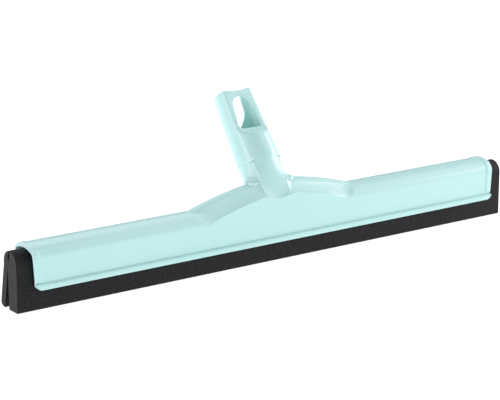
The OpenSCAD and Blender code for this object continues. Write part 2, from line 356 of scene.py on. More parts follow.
# %% Sponge rubber
def make_rubber(name, dark, light, rough, bump_size, cell_scale):
    material, nodes, links, shader = new_material(name)
    cells = place_group(nodes, CELLS)
    set_inputs(cells, {"Cell scale": cell_scale})
    speckle = scaled(nodes, links, cells.outputs["Pores"], 0.0, 1.0)
    grain = scaled(nodes, links, cells.outputs["Grain"], -0.6, 1.6)
    both = nodes.new("ShaderNodeMath")
    both.operation = "MULTIPLY"
    links.new(speckle, both.inputs[0])
    links.new(grain, both.inputs[1])
    links.new(tint(nodes, links, both.outputs["Value"], dark, light), shader.inputs["Base Color"])
    dull = scaled(nodes, links, cells.outputs["Grain"], rough - 0.1, rough + 0.1)
    links.new(dull, shader.inputs["Roughness"])
    links.new(relief(nodes, links, cells.outputs["Grain"], bump_size, 0.6), shader.inputs["Normal"])
    set_inputs(shader, {"Specular IOR Level": 0.22})
    return material


SKIN = make_rubber("sponge_skin", (0.0015, 0.0022, 0.0024), (0.027, 0.032, 0.033), 0.62, 0.00006, 700.0)
CUT = make_rubber("sponge_cut", (0.005, 0.007, 0.007), (0.115, 0.132, 0.130), 0.85, 0.00012, 1100.0)
print("Rubber:", SKIN.name, "and", CUT.name)

# %% [markdown]
# Cut across, the hood is a flat face, a steep shoulder and a low crown that meet in a crisp knee. The
# channel inside follows it at the wall's thickness. One half is drawn, and the other is its mirror image.

# %% Hood section
CHANNEL_KNEE = (-7.5, 43.0)
CHANNEL_TOP = 44.3


def hood_side():
    pts = [(-FACE_Y, z) for z in spread(BEAD_TOP, SHOULDER_H, 8)]
    pts += [bezier((-FACE_Y, SHOULDER_H), (-FACE_Y, 42.2), KNEE, t) for t in spread(0, 1, 12)[1:]]
    pts += [(y, lerp(TOP_H, KNEE[1], (y / KNEE[0]) ** 2)) for y in spread(KNEE[0], 0, 12)[1:]]
    return pts


def channel_side():
    wall_y = FACE_Y - WALL
    knee_y, knee_z = CHANNEL_KNEE
    pts = [(-wall_y, z) for z in spread(HEM_H, SHOULDER_H, 8)]
    pts += [bezier((-wall_y, SHOULDER_H), (-wall_y, 42.3), CHANNEL_KNEE, t) for t in spread(0, 1, 8)[1:]]
    pts += [(y, lerp(CHANNEL_TOP, knee_z, (y / knee_y) ** 2)) for y in spread(knee_y, 0, 8)[1:]]
    return pts


print("Section:", len(hood_side()), "points outside and", len(channel_side()), "inside")

# %% [markdown]
# The fairing has to lie on the hood without a gap. Both are read as a radius round a point on the mid-
# plane, and at each angle the larger is kept. A boolean union would leave uneven faces along the seam.

# %% Section as a radius
CENTRE_H = 30.0


def polar(side):
    return [(math.atan2(z - CENTRE_H, -y), math.hypot(y, z - CENTRE_H)) for y, z in side]


HOOD = polar(hood_side())
CHANNEL = polar(channel_side())


def reach(curve, angle):
    for (a, ra), (b, rb) in zip(curve, curve[1:]):
        if angle <= b:
            t = 0 if b == a else min(1, max(0, (angle - a) / (b - a)))
            return 1 / lerp(1 / ra, 1 / rb, t)
    return curve[-1][1]


def on_curve(curve, y, z, ease=None):
    """The curve's point at the same angle, or the given point where it stands further out."""
    angle = math.atan2(z - CENTRE_H, abs(y))
    r = reach(curve, angle)
    if ease is not None:
        gap = math.hypot(y, z - CENTRE_H) - r
        r = r + 0.5 * (gap + math.sqrt(gap * gap + ease * ease))
    side = -1 if y < 0 else 1
    return side * r * math.cos(angle), CENTRE_H + r * math.sin(angle)


print("Radius straight up:", round(reach(HOOD, math.pi / 2), 2), "mm")

# %% [markdown]
# The fairing is an arched ridge with a hollow, a cove, in front and behind. Three curves along x describe
# it: the ridge's middle, its edge and the crease at the cove's foot. Near the neck the front crease dips.

# %% Fairing curves
def ridge(x):
    u = (WING - abs(x)) / WING
    return TOP_H + RIDGE_RISE * u - RIDGE_SAG * u * u


def ridge_edge(x):
    return ridge(x) - CREST_DROP - TIP_DROP * (abs(x) / WING) ** 4


def ridge_half(x):
    return RIDGE_Y + (TIP_Y - RIDGE_Y) * (abs(x) / WING) ** 4


def valley(x):
    return (1 - (x / VALLEY_W) ** 2) ** 2 if abs(x) < VALLEY_W else 0


def crease(x, front):
    z = CREASE_H - CREASE_FALL * (abs(x) / CREASE_REACH) ** CREASE_POWER
    return max(BEAD_TOP + 3, z - CREASE_DIP * valley(x) * front)


print("Ridge at the middle:", round(ridge(0), 1), "mm, crease:", round(crease(0, 1), 1), "mm")

# %% [markdown]
# Where the ridge meets the neck, a fillet turns its top upwards: an arc that starts almost level and ends
# upright on the neck's side. on_neck turns a place on the leaning axis into the head's own x, y and z.

# %% Neck's foot
START = math.radians(-7.2)
ROOT_X = FLANK + ROOT_R
ROOT_Z = ridge_edge(ROOT_X + ROOT_R * 0.125) + ROOT_R * math.cos(START)
NECK_X = FLANK - EDGE_R
ROOT_OUT = ROOT_X + 0.7
ROOT_END = ROOT_X + 0.4  # past this the ridge is plain
NECK_FOOT_Y = -5.56
NECK_EDGE_Y = -5.2
ROOT_SWEEP = 6.5  # the ridge's edge swings in to the neck over this length


def on_neck(x, front, along):
    c, s = math.cos(LEAN), math.sin(LEAN)
    return (x, FOOT[0] + along * s - front * c, FOOT[1] + along * c + front * s)


def neck_top(x):
    front = math.sqrt((NECK_R - 0.2) ** 2 - x * x) - 0.9 * (x / NECK_X) ** 4
    return on_neck(x, front, SEAM_AT - SEAM_DIP + 1.5)


def root_arc(x):
    part = min(1.0, (ROOT_X - abs(x)) / (ROOT_R + EDGE_R))
    return math.asin(max(math.sin(START), part))


def top_of(x, front):
    ax = abs(x)
    wide_y = -ridge_half(ax)
    if ax > ROOT_END:
        z = ridge_edge(ax) - EDGE_R
    else:
        z = ROOT_Z - (ROOT_R + EDGE_R) * math.cos(root_arc(ax))
    if not front:
        return wide_y, z
    if ax >= NECK_X:
        sweep = smooth((ax - NECK_X) / ROOT_SWEEP)
        return lerp(NECK_EDGE_Y, wide_y, sweep), z
    return lerp(NECK_FOOT_Y, NECK_EDGE_Y, (ax / NECK_X) ** 2), z


# %% [markdown]
# Along its lower edge the hood has a rounded bead that stiffens it, with a fine groove over it. Its small
# radii are points. The cove is one curve whose control point wanders from tip to neck: flat outside, deep
# in the middle.

# %% Bead and cove
def bead_path():
    y, low, top = BEAD_Y, HEM_H, BEAD_TOP
    pts = [(-FACE_Y, low), (-y + 0.9, low), (-y + 0.25, low + 0.2), (-y, low + 0.9)]
    pts += [(-y, top - 1.1), (-y + 0.2, top - 0.45), (-y + 0.8, top - 0.1), (-FACE_Y - 0.25, top)]
    pts += [(-FACE_Y + 0.30, top + 0.15), (-FACE_Y + 0.35, top + 0.65), (-FACE_Y, top + 0.95)]
    return pts


def cove_path(x, front):
    low = crease(x, front)
    top_y, top_z = top_of(x, front)
    near = smooth(1 - abs(x) / FLANK) * front
    tip = smooth((abs(x) - 35) / 32)
    across, up = lerp(lerp(0.70, 0.48, tip), 0.41, near), lerp(lerp(0.30, 0.52, tip), 0.05, near)
    a, b = (-FACE_Y, low), (top_y, top_z)
    c = (lerp(a[0], b[0], across), lerp(a[1], b[1], up))
    return [bezier(a, c, b, t) for t in spread(0, 1, 12)]


def edge_path(x, front):
    """Half of the ridge's top, from the rounded edge to the middle."""
    top_y, top_z = top_of(x, front)
    corner = (top_y, top_z + EDGE_R)
    rise = ridge(x) - ridge_edge(x) if abs(x) > ROOT_END else 0
    inner = (corner[0] + EDGE_R, corner[1])
    pts = [bezier((top_y, top_z), corner, inner, t) for t in (0.25, 0.5, 0.75, 1)]
    pts += [(lerp(inner[0], 0, t), corner[1] + rise * (1 - (1 - t) ** 2)) for t in spread(0, 1, 6)[1:]]
    return pts


# %% [markdown]
# The fairing ends on the hood in a crisp rounded outline, like a thumb laid on it. The outline was read
# from the photograph, and the facet sinks until it reaches that line. Scaling the section down would give
# a pointed tip.

# %% Wing tips
TIP_START = 50.0
TIP_CURVE = [
    (0, 76.9), (4, 76.4), (7.5, 74.8), (9.5, 73.6), (11, 72.1),
    (12, 70.9), (12.8, 69.3), (13.4, 67.6), (13.7, 65.2),
]


def tip_end(y):
    """Where the fairing ends on the hood, at a distance y from the mid-plane."""
    for (a, xa), (b, xb) in zip(TIP_CURVE, TIP_CURVE[1:]):
        if y <= b:
            return lerp(xa, xb, (y - a) / (b - a))
    return TIP_CURVE[-1][1]


def run_out(y, z, ax):
    """Brings a fairing point down, or out, onto the hood as the station nears the wing's end."""
    flat_y, flat_z = on_curve(HOOD, y, z)
    if z < CENTRE_H:
        return flat_y, z
    end = tip_end(abs(flat_y))
    if ax >= end:
        return flat_y, flat_z
    keep = 1 - ((ax - TIP_START) / (end - TIP_START)) ** 3
    cut = mix((flat_y, flat_z), (y, z), keep)
    laid = on_curve(HOOD, y, z, 0.2 * smooth((end - ax) / 3))
    return mix(laid, cut, smooth((abs(flat_y) - 7.0) / 3.0))


print("Wing ends at", tip_end(0), "mm on the crown and", tip_end(FACE_Y), "mm on the face")

# %% [markdown]
# One half section of the head runs from the hem over bead, face and cove to the ridge. place then leans
# the hood's ends, lifts their lower corners and swells their rims, inside and outside alike.

# %% Whole half section
def full_side(x, front):
    """Half section of the hood and the fairing at a station."""
    ax = min(abs(x), WING_END)
    cove = cove_path(ax, front)
    face = [(-FACE_Y, z) for z in spread(BEAD_TOP + 0.95, cove[0][1], 8)[1:-1]]
    pts = face + cove
    if abs(x) > ROOT_END:
        pts += edge_path(ax, front)
    if ax > TIP_START:
        pts = [run_out(y, z, ax) for y, z in pts]
    return bead_path() + pts


def place(x, y, z):
    """Leans the ends, lifts the bead's corners and swells the end rims."""
    ax = abs(x)
    into = ax - (END - CORNER_R)
    if into > 0 and z < HEM_H + CORNER_R:
        lift = CORNER_R - math.sqrt(max(0.0, CORNER_R**2 - into**2))
        z = HEM_H + lift + (z - HEM_H) * (1 - lift / CORNER_R)
    rim = smooth((ax - (END - RIM_W)) / 0.7)
    if z > BEAD_TOP + 1:
        y = y * (1 + RIM_OUT / FACE_Y * rim)
        z = z + 0.25 * rim * smooth((z - 38) / 8)
    sx = x * (1 - (TOP_H - z) * END_LEAN / END)
    return (sx, y, z)


print("Half section:", len(full_side(100, 1)), "points")

# %% [markdown]
# The sections stand close together where the shape changes fast, at the end rims, the wing tips and the
# neck's foot. Even spacing would need many more faces.

# %% Head stations
def head_stations():
    xs = spread(0, NECK_X, 10)
    angles = [math.radians(a) for a in (75, 60, 45, 30, 15, 0)]
    xs += [ROOT_X - (ROOT_R + EDGE_R) * math.sin(a) for a in angles]
    xs += [ROOT_OUT, 18.2, 19.2, 20.5, 22.5, 25]
    xs += spread(28, 58, 12)
    xs += spread(59, WING_END - 0.001, 44)
    xs += spread(WING_END + 0.5, 204, 26)
    xs += [207.2, 207.9, 208.1, 208.25, 208.4, 208.6, 208.9, 209.6, 210.4, 211.2, 212, 212.6, LAST]
    return [-x for x in xs[:0:-1]] + xs


STATIONS = head_stations()
print(len(STATIONS), "stations")

# %% [markdown]
# The hood and the fairing on either side of the neck are one sheet over the front and one over the back.
# Under the neck both stop at the cove's upper edge, where the neck starts.

# %% Wings
BELOW_NECK = 11 + 7 + 13  # points of the bead, the face and the cove


def mirror_y(points):
    return [(-y, z) for y, z in points]


def column(x, front):
    pts = full_side(x, front)
    return [place(x, y, z) for y, z in (pts if front else mirror_y(pts))]


def add_wings(bm):
    """The front and back columns and, away from the neck, the ridge's top."""
    for front in (1, 0):
        for part in (-1, 1):
            outer = [x for x in STATIONS if part * x > ROOT_OUT - 0.01]
            add_sheet(bm, [column(x, front) for x in outer])
        under = [x for x in STATIONS if abs(x) < ROOT_OUT + 0.01]
        add_sheet(bm, [column(x, front)[:BELOW_NECK] for x in under])


# %% [markdown]
# The neck's front is scooped: a leaning plate, narrow at its foot and as wide as the tube at the seam.
# Its rows blend from the cove's upper edge to the seam's circle. The back is hidden in the round shell
# that follows.

# %% Neck's front
def neck_rows(front):
    """Rows of the neck's front, or of its hidden back, from the fillet's top to the seam."""
    xs = [x for x in STATIONS if abs(x) <= NECK_X + 0.001]
    rows = []
    for v in spread(0, 1, 12):
        row = []
        for x in xs:
            y, z = top_of(x, front)
            top = neck_top(x)
            row.append(mix((x, y, z), top, v) if front else (x, ridge_half(x), lerp(z, top[2], v)))
        rows.append(row)
    return rows


def add_neck_plate(bm):
    front, back = [[[place(*p) for p in row] for row in neck_rows(side)] for side in (1, 0)]
    add_sheet(bm, front)
    add_sheet(bm, back)
    add_sheet(bm, [front[-1], back[-1]])
    for side in (-1, 1):
        rows = []
        for x in [x for x in STATIONS if NECK_X - 0.001 <= side * x < ROOT_OUT + 0.01]:
            rows.append(root_row(abs(x), side))
        if side == 1:
            rows = rows[::-1]
        for low, high in zip(front[1:], back[1:]):
            f = low[-1] if side == 1 else low[0]
            b = high[-1] if side == 1 else high[0]
            rows.append(across(f, b, (side, 0, 0)))
        add_sheet(bm, rows)


# %% [markdown]
# On both sides the ridge's top turns up the neck in one strip with rounded edges. A bevel would do this
# on a simpler body, but here both borders have to meet their neighbours point for point.

# %% Strip over the neck's foot
def across(f, b, outward):
    """A row from the front edge over the outer face to the back edge, with rounded edges."""
    ef = tuple(c + EDGE_R * o for c, o in zip(f, outward))
    eb = tuple(c + EDGE_R * o for c, o in zip(b, outward))
    tf = (ef[0], ef[1] + EDGE_R, ef[2])
    tb = (eb[0], eb[1] - EDGE_R, eb[2])
    row = [bezier(f, ef, tf, t) for t in (0, 0.25, 0.5, 0.75, 1)]
    row += [mix(tf, tb, t) for t in spread(0, 1, 12)[1:-1]]
    row += [bezier(tb, eb, b, t) for t in (0, 0.25, 0.5, 0.75, 1)]
    return row


def root_row(ax, side):
    fy, z = top_of(ax, 1)
    by = -top_of(ax, 0)[0]
    angle = 0.0 if ax > ROOT_END else root_arc(ax)
    outward = (side * math.sin(angle), 0, math.cos(angle))
    f, b = place(side * ax, fy, z), place(side * ax, by, z)
    return across(f, b, outward)


# %% [markdown]
# Inside, the hood is a smooth channel, open below and at both ends. A solidify modifier would also
# thicken the fairing, so the channel is a sheet of its own, and a flat hem joins it to the outside.

# %% Channel
def inner_side(x, front):
    outer = full_side(max(abs(x), WING_END + 1) * (1 if x > 0 else -1), front)
    return [(WALL - FACE_Y, z) if z < CENTRE_H else on_curve(CHANNEL, y, z) for y, z in outer]


def end_ring(x, points):
    return [place(x, y, z) for y, z in points]


def add_channel(bm):
    xs = [-LAST, -208, -150, -80, 0, 80, 150, 208, LAST]
    for flip in (False, True):
        rows = []
        for x in xs:
            pts = inner_side(x, 1)
            rows.append(end_ring(x, mirror_y(pts) if flip else pts))
        add_sheet(bm, rows)
        hem = []
        for x in STATIONS:
            pair = [(-FACE_Y, HEM_H), (WALL - FACE_Y, HEM_H)]
            hem.append(end_ring(x, mirror_y(pair) if flip else pair))
        add_sheet(bm, hem)


# %% [markdown]
# The cut ends of the wall are slightly rounded, as a mould leaves them. From the outer rim to the inner
# one the sheet steps out, runs flat and steps back.

# %% End rims
ROUNDED_RIM = ((0.04, 0.28), (0.16, END_RIM), (0.84, END_RIM), (0.96, 0.28))


def add_ends(bm):
    for side in (-1, 1):
        for flip in (False, True):
            both = [full_side(side * LAST, 1), inner_side(side * LAST, 1)]
            both = [mirror_y(half) if flip else half for half in both]
            rim_out, rim_in = [end_ring(side * LAST, half) for half in both]
            rows = [rim_out]
            for t, dx in ROUNDED_RIM:
                rows.append([(p[0] + side * dx, *mix(p, q, t)[1:]) for p, q in zip(rim_out, rim_in)])
            rows.append(rim_in)
            add_sheet(bm, rows)


# %% [markdown]
# Four thin ribs along the inside of the hood bite into the rubber. They are plain bars, so scaled cubes
# are enough. Each entry gives a height and how far the front and the back rib reach.

# %% Gripping ribs
RIBS = ((22.0, -10.6, 10.2), (32.0, -10.6, 8.3))
RIB_THICK = 1.2
RIB_END = 208
RIB_ROOT = 12.2  # in the wall


def add_ribs(bm):
    for low, front_y, back_y in RIBS:
        add_box(bm, (-RIB_END, -RIB_ROOT, low), (RIB_END, front_y, low + RIB_THICK))
        add_box(bm, (-RIB_END, back_y, low), (RIB_END, RIB_ROOT, low + RIB_THICK))


print("Ribs:", 2 * len(RIBS))

# %% [markdown]
# Behind its scooped front the neck is round and flares out softly onto the ridge. A cylinder has no such
# foot, so an outline round the axis is carried up from inside the hood, and each ring is widened by what
# the fillet needs there.

# %% Neck sides and back
NECK_EDGE = (12.15, 9.7)
SHELL_R = 16.4
FOOT_SWELL = 0.6


def flare(x, front, along):
    """How far the fillet at the neck's foot stands out from its round side."""
    height = on_neck(x, front, along)[2] - ridge(x)
    side = smooth((front + 2) / 5) * smooth((NECK_EDGE[1] + 0.2 - front) / 3)
    left = min(ROOT_R, max(0.0, ROOT_R - height))
    return side * (ROOT_R - math.sqrt(ROOT_R**2 - left**2))


def add_neck_back(bm):
    edge_r = math.hypot(*NECK_EDGE)
    edge = math.atan2(NECK_EDGE[1], NECK_EDGE[0])
    outline = [(-x, NECK_EDGE[1] - 0.3) for x in (0, 6, 11.5)]
    for a in spread(math.pi - edge, 2 * math.pi + edge, 72):
        r = lerp(edge_r, SHELL_R, smooth((math.sin(edge) - math.sin(a)) / 0.4))
        outline.append((r * math.cos(a), r * math.sin(a)))
    outline += [(x, NECK_EDGE[1] - 0.3) for x in (11.5, 6)]
    rows = []
    for t in spread(0, 1, 40):
        row = []
        for x, front in outline:
            start = min(-5.0, (7.3 + 0.791 * front) / 0.6115)  # 1 mm inside the hood's rear face
            along = lerp(start, 17.0, t)
            swell = FOOT_SWELL * smooth(1 - along / SEAM_AT) * smooth((NECK_EDGE[1] - front) / 8)
            out = 1 + (flare(x, front, along) + swell) / SHELL_R
            row.append(on_neck(x * out, front * out, along))
        rows.append(row)
    rows.insert(0, [(x, max(y, -4.8), z - 6) for x, y, z in rows[0]])  # straight down, inside the ridge
    add_sheet(bm, rows, closed=True)


print("Neck:", 2 * SHELL_R, "mm thick")

# %% [markdown]
# All sheets go into one mesh, are welded there and take the place of the CAD moulding. The mesh rides on
# the head's body, so it follows every pose.

# %% Build the head
def build_head():
    bm = bmesh.new()
    add_wings(bm)
    add_neck_plate(bm)
    add_channel(bm)
    add_ends(bm)
    add_ribs(bm)
    add_neck_back(bm)
    return finish_mesh("head_moulding", bm, [MINT])


head = build_head()
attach(head, "head")
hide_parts("head_shell")

# %% [markdown]
# The handle goes into a tapered tube with a flat pad in front. Each wall is a function that tells how far
# it stands from the axis. A soft minimum of circle and pad rounds their edge, which a boolean cut would
# leave sharp.

# %% Socket walls
WALL_LOW = 24.0  # below this the foot's own rows begin
WINDOW_LOW, WINDOW_HIGH = 38.0, 71.0  # frame of both openings
RIM_START = 73.5
HIGH_ROWS = [72.2, RIM_START]
PAD_FROM, PAD_RUN = 30.5, 10.5  # the pad runs in from the round tube over this length
PAD_EASE, BORE_EASE = 0.7, 0.4  # rounding of the pad's edges, outside and inside
DIP_HALF, DIP_FRONT = 11.0, 5.5  # half width of the rim's hollow, and how far forward it starts
AROUND = 12  # rows beside an opening


def outer_radius(along):
    return lerp(SEAM_R, MOUTH_R, (along - SEAM_AT) / (MOUTH_AT - SEAM_AT))


def pad_plane(along):
    return lerp(SEAM_R + 1.5, PAD_Y, smooth((along - PAD_FROM) / PAD_RUN))


def soft_min(a, b, r):
    gap = a - b
    return 0.5 * (a + b - math.sqrt(gap * gap + r * r))


def outer_wall(x, along, back):
    r = outer_radius(along)
    depth = math.sqrt(max(0.01, r * r - x * x))
    if back:
        return -depth
    return soft_min(depth, pad_plane(along), PAD_EASE)


def side_angles(r, wide, depth):
    """Angles of the side's columns, with four of them round the pad's edge."""
    edge, last = math.acos(wide[0] / r), -math.acos(wide[1] / r)
    corner = min(math.asin(min(1.0, depth / r)), edge - 0.12)
    near = [corner + d for d in (0.07, 0.025, -0.025, -0.07)]
    return spread(edge, near[0], 3)[:-1] + near + spread(near[-1], last, 10)[1:]


def dipped(points, amount):
    """Hollows the rim's front, over the flat pad."""
    axis = Vector(on_neck(0, 0, 0))
    ahead = Vector(on_neck(0, 1, 0)) - axis
    down = axis - Vector(on_neck(0, 0, 1))
    out = []
    for point in points:
        front = (Vector(point) - axis).dot(ahead)
        share = max(0.0, 1 - (point[0] / DIP_HALF) ** 2) if front > DIP_FRONT else 0.0
        out.append(tuple(Vector(point) + down * amount * share))
    return out


def dip_at(along):
    return MOUTH_DIP * max(0.0, (along - WINDOW_HIGH) / (RIM_START - WINDOW_HIGH))


def inner_wall(x, along, back):
    depth = math.sqrt(max(0.01, BORE_R**2 - x * x))
    return -depth if back else soft_min(depth, PAD_Y - PAD_WALL, BORE_EASE)


print("Wall at the pad:", round(outer_wall(0, 60, False) - inner_wall(0, 60, False), 2), "mm")

# %% [markdown]
# The handle's button snaps into an arched window in the pad. Behind it a slot, open at the mouth, lets
# the tube give a little. Its outline was read through the window. Both outlines are points in even steps,
# ready for the grid round them.

# %% Window and slot
WINDOW_AT, WINDOW_TOP = 40.8, 68.1
WINDOW_W = 10.5
WINDOW_CORNER = 4.0
ARCH_R = 8.6
SLOT_W = 10.4
SLOT_FLARE = 1.12
SLOT_LINE = [
    (10.4, RIM_START), (10.25, 68), (10.2, 62), (9.9, 59.5), (9.3, 57.4), (8.1, 54.7),
    (6.7, 52.3), (5.2, 50.6), (3.4, 49.3), (1.6, 48.6), (0, 48.4),
]


def even(line, count):
    """A line of points cut into equal steps."""
    lengths = [0.0]
    for p, q in zip(line, line[1:]):
        lengths.append(lengths[-1] + math.dist(p, q))
    out = []
    for want in spread(0, lengths[-1], count):
        i = max(1, next((n for n, l in enumerate(lengths) if l >= want - 1e-9), len(lengths) - 1))
        t = (want - lengths[i - 1]) / (lengths[i] - lengths[i - 1])
        out.append(mix(line[i - 1], line[i], t))
    return out


def window_outline(count, grow=0.0):
    """Points round the window, anticlockwise from the middle of its lower side."""
    arch, low = ARCH_R + grow, WINDOW_AT - grow
    middle = WINDOW_TOP + grow - arch
    knee = (WINDOW_W - WINDOW_CORNER, low + WINDOW_CORNER)
    turn = math.radians(6)

    def on_corner(a):
        return knee[0] + (WINDOW_CORNER + grow) * math.cos(a), knee[1] + WINDOW_CORNER * math.sin(a)

    def on_arch(a):
        return arch * math.cos(a), middle + arch * math.sin(a)

    right = [(t * knee[0], low) for t in spread(0, 1, 6)]
    right += [on_corner(a) for a in spread(-math.pi / 2, turn, 8)[1:]]
    right += [mix(right[-1], on_arch(turn), t) for t in spread(0, 1, 8)[1:]]
    right += [on_arch(a) for a in spread(turn, math.pi / 2, 12)[1:]]
    half = even(right, count // 2)
    return half + [(-x, a) for x, a in half[-2:0:-1]]


def slot_edge(wall, grow):
    """Half width of the slot at the mouth. The cut opens outwards."""
    return SLOT_W * (SLOT_FLARE if wall is outer_wall else 1.0) + grow


def slot_outline(count, wall, grow=0.0):
    """Points along the slot, from its right end at the mouth down and up again."""
    wide = slot_edge(wall, grow) / SLOT_W
    half = even([(x * wide, a - grow * (1 - x / SLOT_W)) for x, a in SLOT_LINE], count // 2)
    return half + [(-x, a) for x, a in half[-2::-1]]


print("Window:", 2 * WINDOW_W, "mm wide. Slot:", 2 * SLOT_W, "mm wide")

# %% [markdown]
# Round each opening lies a frame of faces. Its outer border follows the wall's grid and its inner border
# the opening, so both neighbours share their points. A boolean hole would leave long thin faces that
# shade badly.

# %% Frames and walls
def frame_outline(wide):
    """The grid points round the window's frame, in the window outline's order."""
    right = [(x, WINDOW_LOW) for x in spread(0, wide, 6)]
    right += [(wide, a) for a in spread(WINDOW_LOW, WINDOW_HIGH, AROUND)[1:]]
    right += [(x, WINDOW_HIGH) for x in spread(wide, 0, 6)[1:]]
    return right + [(-x, a) for x, a in right[-2:0:-1]]


def on_wall(wall, x, along, back):
    return on_neck(x, wall(x, along, back), along)


STEPS = (0, 0.3, 0.6, 0.85, 1)


def opening(count, wall, back, grow=0.0):
    return slot_outline(count, wall, grow) if back else window_outline(count, grow)


def slot_frame(wide):
    """The grid points round the slot, from the mouth down, across and up again."""
    heights = spread(WINDOW_LOW, WINDOW_HIGH, AROUND) + HIGH_ROWS
    right = [(wide, a) for a in heights[::-1]] + [(x, WINDOW_LOW) for x in spread(wide, 0, 6)[1:]]
    return right + [(-x, a) for x, a in right[-2::-1]]


def add_frame(bm, wall, wide, back, grow):
    """The wall round the front window, or round the slot at the back."""
    edge = slot_frame(wide) if back else frame_outline(wide)
    hole = opening(len(edge), wall, back, grow)
    rows = []
    for t in STEPS:
        rows.append([on_wall(wall, *mix(p, q, t), back) for p, q in zip(edge, hole)])
    add_sheet(bm, rows, closed=not back)
    return rows[-1]


# %% [markdown]
# Beside the frames the walls are plain grids round the axis: two sides, whose columns stand closer round
# the pad's edges, and strips below and above the openings.

# %% Walls
def add_wall(bm, wall, radius_at, wide, rows_at):
    """The tube's wall between the given heights, without the two window frames."""
    def side_points(along, sign):
        r = radius_at(along)
        pts = []
        for a in side_angles(r, wide, wall(0, along, False)):
            x = sign * r * math.cos(a)
            front = r * math.sin(a)
            if front > 0:
                front = wall(x, along, False) if abs(x) < r - 1e-6 else 0
            pts.append(on_neck(x, front, along))
        return dipped(pts, dip_at(along))

    for sign in (-1, 1):
        add_sheet(bm, [side_points(a, sign) for a in rows_at])
    for back in (False, True):
        low = [a for a in rows_at if a <= WINDOW_LOW + 1e-6]
        high = [a for a in rows_at if a >= WINDOW_HIGH - 1e-6]
        for part in (low,) if back else (low, high):
            xs = spread(-wide[back], wide[back], 12)
            rows = [dipped([on_wall(wall, x, a, back) for x in xs], dip_at(a)) for a in part]
            if len(rows) > 1:
                add_sheet(bm, rows)


# %% [markdown]
# Where a wall ends, the next piece needs a closed ring with the wall's own columns, so that the two weld.
# along_of lets the ring dip: it is told how far forward a point lies and gives its height.

# %% Rings round the axis
OUTER_WIDE = (11.6, 13.4)  # half widths of the front and the back frame
INNER_WIDE = (11.2, 11.2)
OUTER_EASE, INNER_EASE = 0.45, 0.25  # rounding of an opening's edges


def ring(radius_of, wall, wide, along_of):
    """A closed ring in the walls' column order. along_of takes the front's share."""
    pts = []
    r = radius_of(along_of(0.0))
    for x in spread(-wide[0], wide[0], 12):
        a = along_of(math.sqrt(max(0, r * r - x * x)) / r)
        pts.append(on_wall(wall, x, a, False))
    angles = side_angles(r, wide, wall(0, along_of(1.0), False))[1:-1]

    def beside(sign, t):
        a = along_of(math.sin(t))
        x = sign * r * math.cos(t)
        return on_neck(x, wall(x, a, False) if t > 0 else r * math.sin(t), a)

    pts += [beside(1, t) for t in angles]
    for x in spread(wide[1], -wide[1], 12):
        a = along_of(-math.sqrt(max(0, r * r - x * x)) / r)
        pts.append(on_wall(wall, x, a, True))
    return pts + [beside(-1, t) for t in angles[::-1]]


# %% [markdown]
# A moulded opening has no sharp edges. The cut through the wall starts and ends with a few rows on a
# small curve, which stays even where a bevel modifier would pinch.

# %% Cut edges
def add_window_wall(bm, out_edge, in_edge, back):
    """The cut through the wall, with its two rounded edges."""
    def edge(wall, deep):
        outline = opening(len(out_edge), wall, back)
        return [on_neck(x, wall(x, a, back) + deep, a) for x, a in outline]

    deep = -OUTER_EASE if back else OUTER_EASE
    out_wall, out_knee = edge(outer_wall, -deep), edge(outer_wall, 0)
    in_wall, in_knee = edge(inner_wall, deep * 0.5), edge(inner_wall, 0)
    rows = []
    for t in (0, 0.33, 0.67, 1):
        rows.append([bezier(p, k, q, t) for p, k, q in zip(out_edge, out_knee, out_wall)])
    for t in (0, 0.5, 1):
        rows.append([bezier(p, k, q, t) for p, k, q in zip(in_wall, in_knee, in_edge)])
    add_sheet(bm, rows, closed=not back)
    return rows


# %% [markdown]
# The seam is where the tube laps over the neck, and it dips in front. The foot leads from the walls'
# lowest row down to that dip, rounds the edge and closes inwards.

# %% Foot
SEAM_EASE = 0.4


def seam_along(share):
    return SEAM_AT - SEAM_DIP * smooth((share + 0.4) / 0.8)


def add_foot(bm):
    def outer_ring(along_of):
        return ring(outer_radius, outer_wall, OUTER_WIDE, along_of)

    rows = []
    for t in (0, 0.25, 0.5, 0.75, 1):
        rows.append(outer_ring(lambda share: lerp(WALL_LOW, seam_along(share) + SEAM_EASE, t)))
    foot = outer_ring(seam_along)
    axis = Vector(on_neck(0, 0, 0))
    way = (Vector(on_neck(0, 0, 1)) - axis).normalized()

    def drawn_in(points, amount):
        out = []
        for p in points:
            v = Vector(p)
            c = axis + way * (v - axis).dot(way)
            out.append(tuple(c + (v - c) * (1 - amount / (v - c).length)))
        return out

    rows += [drawn_in(foot, 0.1), drawn_in(foot, 0.35), drawn_in(foot, 6.0)]
    add_sheet(bm, rows, closed=True)


print("Seam in front at", round(seam_along(1), 1), "mm, behind at", round(seam_along(-1), 1), "mm")

# %% [markdown]
# The mouth's rim is a broad C, open where the slot cuts it, and rounded over the wall's thickness. Its
# points are the walls' own, so it welds onto them. Below, a disc closes the bore.

# %% Mouth
RIM_PROFILE = [(0, RIM_START), (0.03, 73.98), (0.16, MOUTH_AT), (0.5, MOUTH_AT)]
RIM_PROFILE += [(1 - t, along) for t, along in RIM_PROFILE[-2::-1]]


def rim_chain(radius, wall, wide, opening, along):
    """From the slot's right side round the front to its left side."""
    right = [on_wall(wall, lerp(wide[1], opening, t), along, True) for t in STEPS[::-1]]
    for a in side_angles(radius, wide, wall(0, along, False))[-2:0:-1]:
        front = wall(radius * math.cos(a), along, False) if a > 0 else radius * math.sin(a)
        right.append(on_neck(radius * math.cos(a), front, along))
    right += [on_wall(wall, x, along, False) for x in spread(wide[0], 0, 6)]
    return right + [(-x, y, z) for x, y, z in right[-2::-1]]


